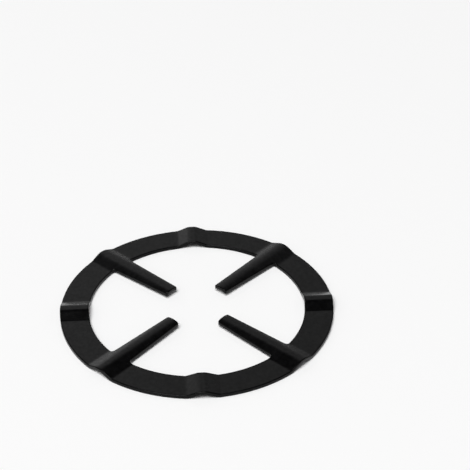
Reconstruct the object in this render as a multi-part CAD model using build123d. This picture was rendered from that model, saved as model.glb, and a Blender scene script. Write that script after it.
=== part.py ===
from build123d import *
import os
from math import cos, radians, sin

# Driving dimensions, in millimetres and degrees.

# The flat band.
outer_diameter = 140.0
band_width = 14.75
sheet = 2.0

# The fingers, which reach in from the band and stop short of the centre.
finger_count = 4
first_finger_angle = 45.0
tip_spacing = 35.3
finger_root_width = 11.3
finger_tip_width = 7.8
root_fillet = 1.5
tip_corner = 0.9

# The ridge pressed along each finger, from its tip out across the band.
ridge_lift = 2.3
ridge_top_flat = 0.6
ridge_slope = 19.0
ridge_crest_bend = 3.5
ridge_foot_bend = 9.0

# The ribs pressed across the band, one midway between each two fingers.
rib_lift = 2.3
rib_top_flat = 3.0
rib_slope = 21.0
rib_shoulder_bend = 2.0
rib_foot_bend = 3.0

# How far the cut edges are broken, all round, above and below.
edge_break = 0.3

# How far cutting shapes run past what they cut.
overrun = 2.0

# The most that the normal of an upright face may rise or dip.
level_within = 0.001

outer_radius = outer_diameter / 2
inner_radius = outer_radius - band_width
tip_radius = tip_spacing / 2
finger_angles = [first_finger_angle + 360 / finger_count * k for k in range(finger_count)]
rib_angles = [angle + 180 / finger_count for angle in finger_angles]


def flank_length(lift, slope, bends):
    """Length of the straight flank that is left between the two bends of one side."""
    return (lift - bends * (1 - cos(radians(slope)))) / sin(radians(slope))


def half_line(lift, top_flat, slope, shoulder_radius, foot_radius):
    """One side of a pressed line, from the middle of its top down to the flat."""
    level = (1, 0)
    shoulder = JernArc((top_flat / 2, lift), level, shoulder_radius, -slope)
    length = flank_length(lift, slope, shoulder_radius + foot_radius)
    flank = Line(shoulder @ 1, (shoulder @ 1) + (shoulder % 1) * length)
    foot = JernArc(flank @ 1, flank % 1, foot_radius, slope)
    top = Line((0, lift), (top_flat / 2, lift))
    return Curve() + [top, shoulder, flank, foot]


def pressed_section(lift, top_flat, slope, shoulder_bend, foot_bend):
    """Section across a pressed line. Bend radii are those of the inside of each bend."""
    under = half_line(lift, top_flat, slope, shoulder_bend, foot_bend + sheet)
    over = Pos(0, sheet) * half_line(lift, top_flat, slope, shoulder_bend + sheet, foot_bend)
    half_width = max(vertex.X for vertex in under.vertices())
    middle = Line((0, lift), (0, lift + sheet))
    end = Line((half_width, 0), (half_width, sheet))
    half = make_face(Curve() + [under, over, middle, end])
    return half + mirror(half, Plane.YZ), half_width


def finger_plan():
    """One finger seen from above, widening evenly from its tip and running on under the band."""
    widening = (finger_root_width - finger_tip_width) / (inner_radius - tip_radius)
    end_radius = (inner_radius + outer_radius) / 2
    end_width = finger_root_width + widening * (end_radius - inner_radius)
    corners = [
        (tip_radius, -finger_tip_width / 2),
        (end_radius, -end_width / 2),
        (end_radius, end_width / 2),
        (tip_radius, finger_tip_width / 2),
    ]
    return make_face(Polyline(*corners, close=True))


def by_distance(outline):
    """Corners of an outline, from the nearest to the ring's axis to the farthest."""
    return outline.vertices().sort_by(lambda corner: Vector(corner).length)


def plan():
    """Outline of the blank seen from above: the band with its fingers."""
    corner_count = 2 * finger_count
    opening = Rot(Z=first_finger_angle) * Circle(inner_radius)
    opening -= [Rot(Z=angle) * finger_plan() for angle in finger_angles]
    opening = fillet(by_distance(opening)[-corner_count:], root_fillet)
    opening = fillet(by_distance(opening)[:corner_count], tip_corner)
    return Rot(Z=first_finger_angle) * Circle(outer_radius) - opening


def strip(angle, start, half_width):
    """Plan of one straight strip that a press line takes, from start out past the rim."""
    length = outer_radius + overrun - start
    return Rot(Z=angle) * Pos(start + length / 2, 0) * Rectangle(length, 2 * half_width)


def pressed_bar(section, angle, start):
    """The pressed section run outwards along a radius."""
    along = Plane(origin=(start, 0, 0), x_dir=(0, 1, 0), z_dir=(1, 0, 0))
    return Rot(Z=angle) * extrude(along * section, outer_radius + overrun - start)


def pressed_lines():
    """Each press line as its section, its angle and the radius that it starts from."""
    ridge_bends = (ridge_crest_bend, ridge_foot_bend)
    ridge = pressed_section(ridge_lift, ridge_top_flat, ridge_slope, *ridge_bends)
    rib = pressed_section(rib_lift, rib_top_flat, rib_slope, rib_shoulder_bend, rib_foot_bend)
    lines = [(ridge, angle, tip_radius - overrun) for angle in finger_angles]
    lines += [(rib, angle, inner_radius - overrun) for angle in rib_angles]
    return lines


def sheet_metal():
    """The blank with its ridges and ribs pressed in, all edges still square."""
    outline = plan()
    flats = outline
    bars = Part()
    for (section, half_width), angle, start in pressed_lines():
        flats -= strip(angle, start, half_width)
        bars += pressed_bar(section, angle, start)
    tall = max(ridge_lift, rib_lift) + sheet + overrun
    return extrude(flats, sheet) + (bars & extrude(outline, tall))


def rim_edges(solid):
    """The edges where the upper and lower faces meet the cut edge of the sheet."""
    cut_faces = solid.faces().filter_by(lambda face: abs(face.normal_at().Z) < level_within)
    edges = ShapeList([edge for face in cut_faces for edge in face.edges()])
    return edges.filter_by(Axis.Z, reverse=True)


def reducer_ring():
    """The finished ring, with its cut edges broken above and below."""
    ring = sheet_metal()
    return chamfer(rim_edges(ring), edge_break)


os.makedirs("parts", exist_ok=True)
export_step(reducer_ring(), "parts/reducer_ring.step")
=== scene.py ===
from cmath import exp, phase
from math import asin, cos, pi, radians, sin

import bmesh
import bpy
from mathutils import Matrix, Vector


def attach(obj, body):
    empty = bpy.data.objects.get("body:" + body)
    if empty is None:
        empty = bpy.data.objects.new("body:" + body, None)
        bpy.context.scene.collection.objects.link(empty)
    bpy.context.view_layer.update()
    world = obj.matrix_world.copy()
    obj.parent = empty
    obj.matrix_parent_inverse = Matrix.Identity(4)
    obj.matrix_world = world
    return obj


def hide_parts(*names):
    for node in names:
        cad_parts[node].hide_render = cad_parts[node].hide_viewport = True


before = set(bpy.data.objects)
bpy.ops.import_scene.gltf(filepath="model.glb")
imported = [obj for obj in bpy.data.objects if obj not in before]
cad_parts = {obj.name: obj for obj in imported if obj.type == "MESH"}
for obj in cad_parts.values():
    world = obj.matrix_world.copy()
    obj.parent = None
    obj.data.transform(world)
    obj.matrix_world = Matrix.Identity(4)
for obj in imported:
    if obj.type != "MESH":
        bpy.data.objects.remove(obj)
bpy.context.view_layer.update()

# The blank. The real ring starts as a flat round blank of low-carbon steel sheet, blanked
# in one stroke with four tapered fingers left standing inwards. Its cut edges are tumbled
# soft, so that the enamel clings to them.
finger_count = 4
sheet = 0.0020
outer_radius = 0.0700
inner_radius = 0.05525
tip_radius = 0.01765
root_half_width = 0.00565
tip_half_width = 0.0039
root_fillet = 0.0015
tip_corner = 0.0009
edge_roll = 0.0004

# The press lines that will cross the blank, which is meshed to suit their bends. Their
# crests are a little rounder than the solid's, so that light fades softly over them.
ridge = {
    "Lift": 0.0023,
    "Top Flat": 0.0,
    "Slope": radians(21),
    "Shoulder Bend": 0.0080,
    "Foot Bend": 0.0060,
}
rib = {
    "Lift": 0.0023,
    "Top Flat": 0.0016,
    "Slope": radians(21),
    "Shoulder Bend": 0.0042,
    "Foot Bend": 0.0030,
}

# How finely each part of the outline is stepped, and where the rows across it lie, as shares.
half_corner_steps = 3
finger_side_steps = 26
half_fillet_steps = 6
ridge_foot_steps = 10
flat_band_steps = 24
rib_steps = 32
edge_roll_steps = 6
across_half_tip = (0, 0.09, 0.18, 0.27, 0.36, 0.45, 0.6, 0.8)
across_band = (0, 0.03, 0.12, 0.37, 0.63, 0.88, 0.97, 1)

# One eighth of the blank is drawn, from the middle of a finger, which lies along X, round to
# the middle of the next rib. Points of the plan are complex numbers, in metres.
eighth = pi / finger_count
tip_edge = complex(tip_radius, tip_half_width)
root_edge = complex(inner_radius, root_half_width)
along = (root_edge - tip_edge) / abs(root_edge - tip_edge)
aside = along * 1j


def spaced(start, end, count):
    """Evenly spaced values from start to end, both included."""
    return [start + (end - start) * k / count for k in range(count + 1)]


def root_centre():
    """Centre of the fillet between a finger's side and the band's inner edge."""
    start = tip_edge + aside * root_fillet
    reach = (start * along.conjugate()).real
    gap = abs(start) ** 2 - (inner_radius - root_fillet) ** 2
    return start + along * ((reach ** 2 - gap) ** 0.5 - reach)


def tip_centre():
    """Centre of the small round at the corner of a finger's tip."""
    start = tip_edge - aside * tip_corner
    return start + along * (tip_radius + tip_corner - start.real) / along.real


def root_arc(first, last):
    """Half of the root fillet's tangent line, as points with their outward normals."""
    normals = [exp(1j * turn) for turn in spaced(first, last, half_fillet_steps)]
    return [(root_centre() - n * (root_fillet + edge_roll), n) for n in normals]


def tip_arc(first, last):
    """Half of the tip corner's tangent line, as points with their outward normals."""
    normals = [exp(1j * turn) for turn in spaced(first, last, half_corner_steps)]
    return [(tip_centre() + n * (tip_corner - edge_roll), n) for n in normals]


def on_circle(radius, height):
    """The point of a circle that lies at a height above the finger's middle line."""
    return complex((radius ** 2 - height ** 2) ** 0.5, height)


def half_base(line):
    """How far from its middle a press line meets the flat."""
    bends = line["Shoulder Bend"] + line["Foot Bend"] + sheet
    flank = (line["Lift"] - bends * (1 - cos(line["Slope"]))) / sin(line["Slope"])
    return line["Top Flat"] / 2 + bends * sin(line["Slope"]) + flank * cos(line["Slope"])


def beside_rib(radius, distance):
    """The point of a circle that lies at a distance from the rib's middle line."""
    return radius * exp(1j * (eighth - asin(distance / radius)))


def solid_points(row, height):
    """Plan points as points in space, at a height above the floor."""
    return [(point.real, point.imag, height) for point in row]


# The directions in which the outline turns, and the lines where its flat faces start to roll.
side_turn = phase(aside)
tip_turn = (pi + side_turn) / 2
band_turn = phase(root_centre()) + pi
root_turn = (side_turn + band_turn) / 2
tip_line = tip_radius + edge_roll
inner_line = inner_radius + edge_roll
outer_line = outer_radius - edge_roll

# The finger: half of its tip, then one side out to the middle of its root fillet.
tip_heights = [tip_centre().imag * share for share in across_half_tip]
tip_row = [(complex(tip_line, height), -1) for height in tip_heights]
tip_row += tip_arc(pi, tip_turn)
finger_side = tip_arc(tip_turn, side_turn)[:-1]
side_start = tip_centre() + aside * (tip_corner - edge_roll)
side_end = root_centre() - aside * (root_fillet + edge_roll)
finger_side += [(point, aside) for point in spaced(side_start, side_end, finger_side_steps)]
finger_side += root_arc(side_turn, root_turn)[1:]

shares = [point.imag / tip_row[-1][0].imag for point, _ in tip_row]
finger_rows = [[point for point, _ in tip_row]]
side_near, side_far = finger_side[0][0], finger_side[-1][0]
for point, _ in finger_side[1:]:
    gone = (point.real - side_near.real) / (side_far.real - side_near.real)
    middle = tip_line + gone * (side_far.real - tip_line)
    finger_rows.append([middle + share * (point - middle) for share in shares])

# The band: its inner edge and its rim, with a point of the rim for each point of the edge.
rib_reach = half_base(rib)
band_edge = root_arc(root_turn, band_turn)
for height in spaced(band_edge[-1][0].imag, half_base(ridge), ridge_foot_steps)[1:]:
    point = on_circle(inner_line, height)
    band_edge.append((point, -point / abs(point)))
rim = [on_circle(outer_line, share * side_far.imag) for share in shares[:-1]]
rim += [on_circle(outer_line, point.imag) for point, _ in band_edge]
flat_ends = [phase(beside_rib(line, rib_reach)) for line in (inner_line, outer_line)]
inner_turns = spaced(phase(band_edge[-1][0]), flat_ends[0], flat_band_steps)
outer_turns = spaced(phase(rim[-1]), flat_ends[1], flat_band_steps)
band_edge += [(inner_line * exp(1j * turn), -exp(1j * turn)) for turn in inner_turns[1:]]
rim += [outer_line * exp(1j * turn) for turn in outer_turns[1:]]
for distance in spaced(rib_reach, 0, rib_steps)[1:]:
    point = beside_rib(inner_line, distance)
    band_edge.append((point, -point / abs(point)))
    rim.append(beside_rib(outer_line, distance))

inner_ends = finger_rows[-1] + [point for point, _ in band_edge[1:]]
band_rows = []
for share in across_band:
    band_rows.append([near + share * (far - near) for near, far in zip(inner_ends, rim)])

# The cut edge: its section from the upper face down to the lower, and where that is swept.
roll_over = [edge_roll * exp(1j * turn) for turn in spaced(pi / 2, 0, edge_roll_steps)]
edge_section = [(out.real, sheet - edge_roll + out.imag) for out in roll_over]
edge_section += [(out.real, edge_roll - out.imag) for out in reversed(roll_over)]
rim_edge = [(point, point / abs(point)) for point in rim]

# Each patch of the mesh has rows of points, and for each point whether it is on a cut edge.
inside, beyond = len(shares) - 1, len(rim) - len(shares) + 1
finger_cut = [[1] * len(shares)] + [[0] * inside + [1] for _ in finger_rows[1:]]
band_cut = [[0] * inside + [1] * beyond]
band_cut += [[0] * len(rim) for _ in across_band[2:]] + [[1] * len(rim)]
patches = []
for rows, cut in ((finger_rows, finger_cut), (band_rows, band_cut)):
    for height in (0, sheet):
        patches.append(([solid_points(row, height) for row in rows], cut))
for outline in (tip_row, finger_side, band_edge, rim_edge):
    rows = []
    for out, height in edge_section:
        rows.append(solid_points([point + out * normal for point, normal in outline], height))
    patches.append((rows, [[1] * len(outline)] * len(rows)))

blank_mesh = bpy.data.meshes.new("blank")
points, cut_points, faces = [], [], []
for rows, cut in patches:
    width, first = len(rows[0]), len(points)
    points += [point for row in rows for point in row]
    cut_points += [mark for row in cut for mark in row]
    for j in range(len(rows) - 1):
        for i in range(width - 1):
            corner = first + j * width + i
            faces.append((corner, corner + 1, corner + width + 1, corner + width))
blank_mesh.from_pydata(points, [], faces)
blank_mesh.attributes.new("cut_edge", "FLOAT", "POINT").data.foreach_set("value", cut_points)
ring = bpy.data.objects.new("reducer_ring_enamelled", blank_mesh)
bpy.context.scene.collection.objects.link(ring)

# The press lines. One press stroke lifts a ridge along each finger and out across the band,
# and a flat-topped rib midway between each two fingers. They stiffen the thin sheet and
# carry whatever stands on it.
press_line = bpy.data.node_groups.new("press line", "GeometryNodeTree")
for name in ("Distance", "Lift", "Top Flat", "Slope", "Shoulder Bend", "Foot Bend"):
    press_line.interface.new_socket(name, in_out="INPUT", socket_type="NodeSocketFloat")
press_line.interface.new_socket("Height", in_out="OUTPUT", socket_type="NodeSocketFloat")


def feed(tree, socket, value):
    """Links a socket to another node's output, or sets it to a plain value."""
    if isinstance(value, bpy.types.NodeSocket):
        tree.links.new(value, socket)
    else:
        socket.default_value = value


def calc(tree, operation, *terms):
    """One sum on numbers or sockets."""
    added = tree.nodes.new("ShaderNodeMath")
    added.operation = operation
    for socket, term in zip(added.inputs, terms):
        feed(tree, socket, term)
    return added.outputs[0]


def between(tree, value, most):
    """The value, held between nought and most."""
    return calc(tree, "MINIMUM", calc(tree, "MAXIMUM", value, 0.0), most)


def circle_height(tree, radius, out):
    """Height of a circle above its centre, at a distance out from its middle."""
    radius_squared = calc(tree, "MULTIPLY", radius, radius)
    out_squared = calc(tree, "MULTIPLY", out, out)
    return calc(tree, "SQRT", calc(tree, "SUBTRACT", radius_squared, out_squared))


def fill_press_line(tree):
    """The height at a distance from a line's middle: what each part of its section drops.

    The section is a level top, a shoulder bend, a straight flank and a foot bend.
    """
    sizes_in = tree.nodes.new("NodeGroupInput").outputs
    lift, shoulder, foot = [sizes_in[name] for name in ("Lift", "Shoulder Bend", "Foot Bend")]
    sine = calc(tree, "SINE", sizes_in["Slope"])
    cosine = calc(tree, "COSINE", sizes_in["Slope"])
    both_bends = calc(tree, "ADD", shoulder, foot)
    bends = calc(tree, "MULTIPLY", both_bends, calc(tree, "SUBTRACT", 1.0, cosine))
    flank_height = calc(tree, "SUBTRACT", lift, bends)
    flank = calc(tree, "DIVIDE", calc(tree, "MULTIPLY", flank_height, cosine), sine)
    half_top = calc(tree, "MULTIPLY", sizes_in["Top Flat"], 0.5)
    past_top = calc(tree, "SUBTRACT", sizes_in["Distance"], half_top)
    shoulder_width = calc(tree, "MULTIPLY", shoulder, sine)
    on_shoulder = between(tree, past_top, shoulder_width)
    shoulder_drop = calc(tree, "SUBTRACT", shoulder, circle_height(tree, shoulder, on_shoulder))
    past_shoulder = calc(tree, "SUBTRACT", past_top, shoulder_width)
    on_flank = between(tree, past_shoulder, flank)
    flank_drop = calc(tree, "DIVIDE", calc(tree, "MULTIPLY", on_flank, sine), cosine)
    foot_width = calc(tree, "MULTIPLY", foot, sine)
    on_foot = between(tree, calc(tree, "SUBTRACT", past_shoulder, flank), foot_width)
    to_flat = calc(tree, "SUBTRACT", foot_width, on_foot)
    foot_start = calc(tree, "MULTIPLY", foot, cosine)
    foot_drop = calc(tree, "SUBTRACT", circle_height(tree, foot, to_flat), foot_start)
    drops = calc(tree, "ADD", calc(tree, "ADD", shoulder_drop, flank_drop), foot_drop)
    height = calc(tree, "MAXIMUM", calc(tree, "SUBTRACT", lift, drops), 0.0)
    tree.links.new(height, tree.nodes.new("NodeGroupOutput").inputs["Height"])


fill_press_line(press_line)

# The enamel. Two coats of black vitreous enamel are sprayed on and fired, and they come out
# of the kiln as a hard satin glass with a faint orange peel. It draws back a little from the
# cut edges, where it is thin and duller and the steel's dark scale shows through.
glass_refraction = 1.5
wet_coat_roughness = 0.11
deep_black = (0.0010, 0.0010, 0.0011, 1)
pale_black = (0.0032, 0.0032, 0.0034, 1)
drawn_back = (0.3, 1.0)
edge_dullness = 0.12
edge_scale = 0.75
peel_strength = 0.6
peel_depth = 0.00003

# The clouds in the enamel: how fine they are, their detail, and their least and most.
mottle = (420, 3, 0, 1)
satin = (160, 3, 0.13, 0.20)
wetness = (650, 3, 0.0, 0.4)
fine_peel = (420, 2, 0, 1)
broad_peel = (110, 1, 0, 2)
grain = (1500, 2, 0, 0.35)
most_noise = (0.3, 0.7)

enamel = bpy.data.materials.new("black_enamel")
enamel.use_nodes = True
coat = enamel.node_tree
glass = coat.nodes["Principled BSDF"].inputs
glass["IOR"].default_value = glass_refraction
glass["Coat Roughness"].default_value = wet_coat_roughness
where = coat.nodes.new("ShaderNodeTexCoord").outputs["Object"]
cut_edge = coat.nodes.new("ShaderNodeAttribute")
cut_edge.attribute_name = "cut_edge"


def ranged(tree, value, span, low, high):
    """A value brought from one span to another, and held there."""
    mapped = tree.nodes.new("ShaderNodeMapRange")
    tree.links.new(value, mapped.inputs["Value"])
    for name, number in zip(("From Min", "From Max", "To Min", "To Max"), (*span, low, high)):
        mapped.inputs[name].default_value = number
    return mapped.outputs["Result"]


def clouds(scale, detail, low, high):
    """Soft random clouds that stay fixed to the ring."""
    noise = coat.nodes.new("ShaderNodeTexNoise")
    coat.links.new(where, noise.inputs["Vector"])
    noise.inputs["Scale"].default_value = scale
    noise.inputs["Detail"].default_value = detail
    return ranged(coat, noise.outputs["Fac"], most_noise, low, high)


thin = ranged(coat, cut_edge.outputs["Fac"], drawn_back, 0.0, 1.0)
shade = coat.nodes.new("ShaderNodeMix")
shade.data_type = "RGBA"
shade.inputs["A"].default_value = deep_black
shade.inputs["B"].default_value = pale_black
coat.links.new(clouds(*mottle), shade.inputs["Factor"])
coat.links.new(shade.outputs["Result"], glass["Base Color"])
dull = calc(coat, "MULTIPLY", thin, edge_dullness)
coat.links.new(calc(coat, "ADD", clouds(*satin), dull), glass["Roughness"])
scale_shows = calc(coat, "MULTIPLY", thin, edge_scale)
coat.links.new(scale_shows, glass["Metallic"])
wet_look = calc(coat, "MULTIPLY", clouds(*wetness), calc(coat, "SUBTRACT", 1.0, thin))
coat.links.new(wet_look, glass["Coat Weight"])
peel = calc(coat, "ADD", clouds(*fine_peel), clouds(*broad_peel))
peel = calc(coat, "ADD", peel, clouds(*grain))
bump = coat.nodes.new("ShaderNodeBump")
bump.inputs["Strength"].default_value = peel_strength
bump.inputs["Distance"].default_value = peel_depth
coat.links.new(peel, bump.inputs["Height"])
coat.links.new(bump.outputs["Normal"], glass["Normal"])

# The finished ring. The eighth is pressed, mirrored to a quarter, and set round the axis
# once for each finger, so that the four quarters meet as the one piece that the ring is.
weld_within = 0.000002
to_diagonal = 0.5 ** 0.5
sizes = {"Sheet": sheet}
for line_name, line in (("Ridge", ridge), ("Rib", rib)):
    sizes.update({f"{line_name} {name}": size for name, size in line.items()})
pressing = bpy.data.node_groups.new("pressing", "GeometryNodeTree")
pressing.interface.new_socket("Blank", in_out="INPUT", socket_type="NodeSocketGeometry")
for name in sizes:
    pressing.interface.new_socket(name, in_out="INPUT", socket_type="NodeSocketFloat")
pressing.interface.new_socket("Fingers", in_out="INPUT", socket_type="NodeSocketInt")
pressing.interface.new_socket("Ring", in_out="OUTPUT", socket_type="NodeSocketGeometry")
given = pressing.nodes.new("NodeGroupInput").outputs


def press(kind, links=None, **settings):
    """The outputs of one new node of the pressing, with its settings made and inputs fed."""
    added = pressing.nodes.new(kind)
    for name, value in settings.items():
        setattr(added, name, value)
    for name, value in (links or {}).items():
        feed(pressing, added.inputs[name], value)
    return added.outputs


def line_height(name, distance, face):
    """Height of one face of a press line: the bend on its far side is larger by the sheet."""
    shoulder, foot = given[f"{name} Shoulder Bend"], given[f"{name} Foot Bend"]
    if face == "over":
        shoulder = calc(pressing, "ADD", shoulder, given["Sheet"])
    else:
        foot = calc(pressing, "ADD", foot, given["Sheet"])
    return press("GeometryNodeGroup", node_tree=press_line, links={
        "Distance": distance,
        "Lift": given[f"{name} Lift"],
        "Top Flat": given[f"{name} Top Flat"],
        "Slope": given[f"{name} Slope"],
        "Shoulder Bend": shoulder,
        "Foot Bend": foot,
    })["Height"]


# How far each point is from the middle of the ridge, along X, and of the rib, at 45 degrees.
place = press("GeometryNodeInputPosition")[0]
flat = press("ShaderNodeSeparateXYZ", {"Vector": place})
from_ridge = calc(pressing, "ABSOLUTE", flat["Y"])
off_rib = calc(pressing, "SUBTRACT", flat["X"], flat["Y"])
from_rib = calc(pressing, "ABSOLUTE", calc(pressing, "MULTIPLY", off_rib, to_diagonal))

# Both faces are lifted, and the points between them keep their share of the thickness.
lifted = {}
for face in ("under", "over"):
    heights = line_height("Ridge", from_ridge, face), line_height("Rib", from_rib, face)
    lifted[face] = calc(pressing, "MAXIMUM", *heights)
over = calc(pressing, "ADD", lifted["over"], given["Sheet"])
thickness = calc(pressing, "SUBTRACT", over, lifted["under"])
share_up = calc(pressing, "DIVIDE", flat["Z"], given["Sheet"])
rise = calc(pressing, "MULTIPLY", share_up, thickness)
height = calc(pressing, "ADD", lifted["under"], rise)
moved = press("ShaderNodeCombineXYZ", {"X": flat["X"], "Y": flat["Y"], "Z": height})[0]
pressed = press("GeometryNodeSetPosition", {"Geometry": given["Blank"], "Position": moved})[0]

mirrored = press("GeometryNodeTransform", {"Geometry": pressed, "Scale": (1, -1, 1)})[0]
quarter = pressing.nodes.new("GeometryNodeJoinGeometry")
for half in (pressed, mirrored):
    pressing.links.new(half, quarter.inputs[0])
on_axis = {"Count": given["Fingers"], "Offset": (0, 0, 0)}
stations = press("GeometryNodeMeshLine", on_axis)[0]
order = press("GeometryNodeInputIndex")[0]
step = calc(pressing, "DIVIDE", 2 * pi, given["Fingers"])
turn = calc(pressing, "ADD", calc(pressing, "MULTIPLY", order, step), eighth)
turned = press("ShaderNodeCombineXYZ", {"Z": turn})[0]
quarters = press("GeometryNodeInstanceOnPoints", {
    "Points": stations,
    "Instance": quarter.outputs[0],
    "Rotation": turned,
})[0]
whole = press("GeometryNodeRealizeInstances", {"Geometry": quarters})[0]
joined = press("GeometryNodeMergeByDistance", {"Geometry": whole, "Distance": weld_within})[0]
smooth = press("GeometryNodeSetShadeSmooth", {"Geometry": joined})[0]
coated = press("GeometryNodeSetMaterial", {"Geometry": smooth, "Material": enamel})[0]
pressing.links.new(coated, pressing.nodes.new("NodeGroupOutput").inputs["Ring"])

blank_mesh.materials.append(enamel)
stroke = ring.modifiers.new("pressing", "NODES")
stroke.node_group = pressing
sizes["Fingers"] = finger_count
for item in pressing.interface.items_tree:
    if item.name in sizes:
        stroke[item.identifier] = sizes[item.name]
evaluated = ring.evaluated_get(bpy.context.evaluated_depsgraph_get())
finished = bpy.data.meshes.new_from_object(evaluated)
ring.modifiers.remove(stroke)
ring.data = finished
whole_ring = bmesh.new()
whole_ring.from_mesh(finished)
bmesh.ops.recalc_face_normals(whole_ring, faces=whole_ring.faces)
whole_ring.to_mesh(finished)
whole_ring.free()
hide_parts("reducer_ring")
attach(ring, "root")

# The floor. A plain white table top that keeps the ring's shadow. It runs so far out that
# its end is never near the ring in a picture.
table_reach = 20.0
table_white = (0.97, 0.97, 0.97, 1)
table_roughness = 0.9
corners = [(-1, -1), (1, -1), (1, 1), (-1, 1)]
corners = [(x * table_reach, y * table_reach, 0) for x, y in corners]
floor_mesh = bpy.data.meshes.new("floor")
floor_mesh.from_pydata(corners, [], [(0, 1, 2, 3)])
floor = bpy.data.objects.new("floor", floor_mesh)
bpy.context.scene.collection.objects.link(floor)
paper = bpy.data.materials.new("white_table")
paper.use_nodes = True
paper_look = paper.node_tree.nodes["Principled BSDF"].inputs
paper_look["Base Color"].default_value = table_white
paper_look["Roughness"].default_value = table_roughness
paper_look["Specular IOR Level"].default_value = 0.0
floor.data.materials.append(paper)

# The light. A large soft box hangs far off and high up on the camera's side and faces the
# ring. A white card stands upright behind the ring, on the left.
box_side = 8.0
box_power = 1530
box_place = Vector((-2.35, -4.7, 10.8))
card_width = 1.0
card_height = 0.8
card_power = 0.40
card_place = Vector((-0.75, 1.3, 0.41))
lamp = bpy.data.lights.new("soft_box", "AREA")
lamp.size = box_side
lamp.energy = box_power
soft_box = bpy.data.objects.new("soft_box", lamp)
soft_box.location = box_place
soft_box.rotation_euler = box_place.to_track_quat("Z", "Y").to_euler()
bpy.context.scene.collection.objects.link(soft_box)

card_lamp = bpy.data.lights.new("white_card", "AREA")
card_lamp.shape = "RECTANGLE"
card_lamp.size = card_width
card_lamp.size_y = card_height
card_lamp.energy = card_power
card = bpy.data.objects.new("white_card", card_lamp)
card.location = card_place
upright = Vector((card_place.x, card_place.y, 0))
card.rotation_euler = upright.to_track_quat("Z", "Y").to_euler()
bpy.context.scene.collection.objects.link(card)

# The room. Its walls are grey, a little brighter on the left, and the ceiling over the table
# is dark. The greys are given by height, from the horizon at 0 to overhead at 1.
greys = ((0.0, 0.30), (0.45, 0.27), (0.71, 0.27), (0.81, 0.02), (0.93, 0.0))
left_to_right = (-0.12, 0.16)
left_strength = 1.05
right_strength = 0.62
room = bpy.data.worlds.new("room")
bpy.context.scene.world = room
room.use_nodes = True
walls = room.node_tree
look = walls.nodes.new("ShaderNodeTexCoord").outputs["Generated"]
split = walls.nodes.new("ShaderNodeSeparateXYZ")
walls.links.new(look, split.inputs[0])
wall_grey = walls.nodes.new("ShaderNodeValToRGB")
walls.links.new(split.outputs["Z"], wall_grey.inputs["Fac"])
ramp = wall_grey.color_ramp.elements
for height, _ in greys[1:-1]:
    ramp.new(height)
for stop, (height, grey) in zip(ramp, greys):
    stop.position = height
    stop.color = (grey, grey, grey, 1)
background = walls.nodes["Background"].inputs
walls.links.new(wall_grey.outputs["Color"], background["Color"])
strength = ranged(walls, split.outputs["X"], left_to_right, left_strength, right_strength)
walls.links.new(strength, background["Strength"])

# The camera. It stands where the photograph was taken from, and its lens gives the
# photograph's frame.
focal_length = 106.387
sensor_width = 36.0
nearest_seen = 0.01
camera_place = (-0.01586, -0.56860, 0.43458)
camera_turn = (radians(55.6602), radians(0.1407), radians(-3.6700))
lens = bpy.data.cameras.new("camera")
lens.lens = focal_length
lens.sensor_width = sensor_width
lens.clip_start = nearest_seen
camera = bpy.data.objects.new("camera", lens)
camera.location = camera_place
camera.rotation_euler = camera_turn
bpy.context.scene.collection.objects.link(camera)
bpy.context.scene.camera = camera
bpy.context.scene.view_settings.view_transform = "Standard"
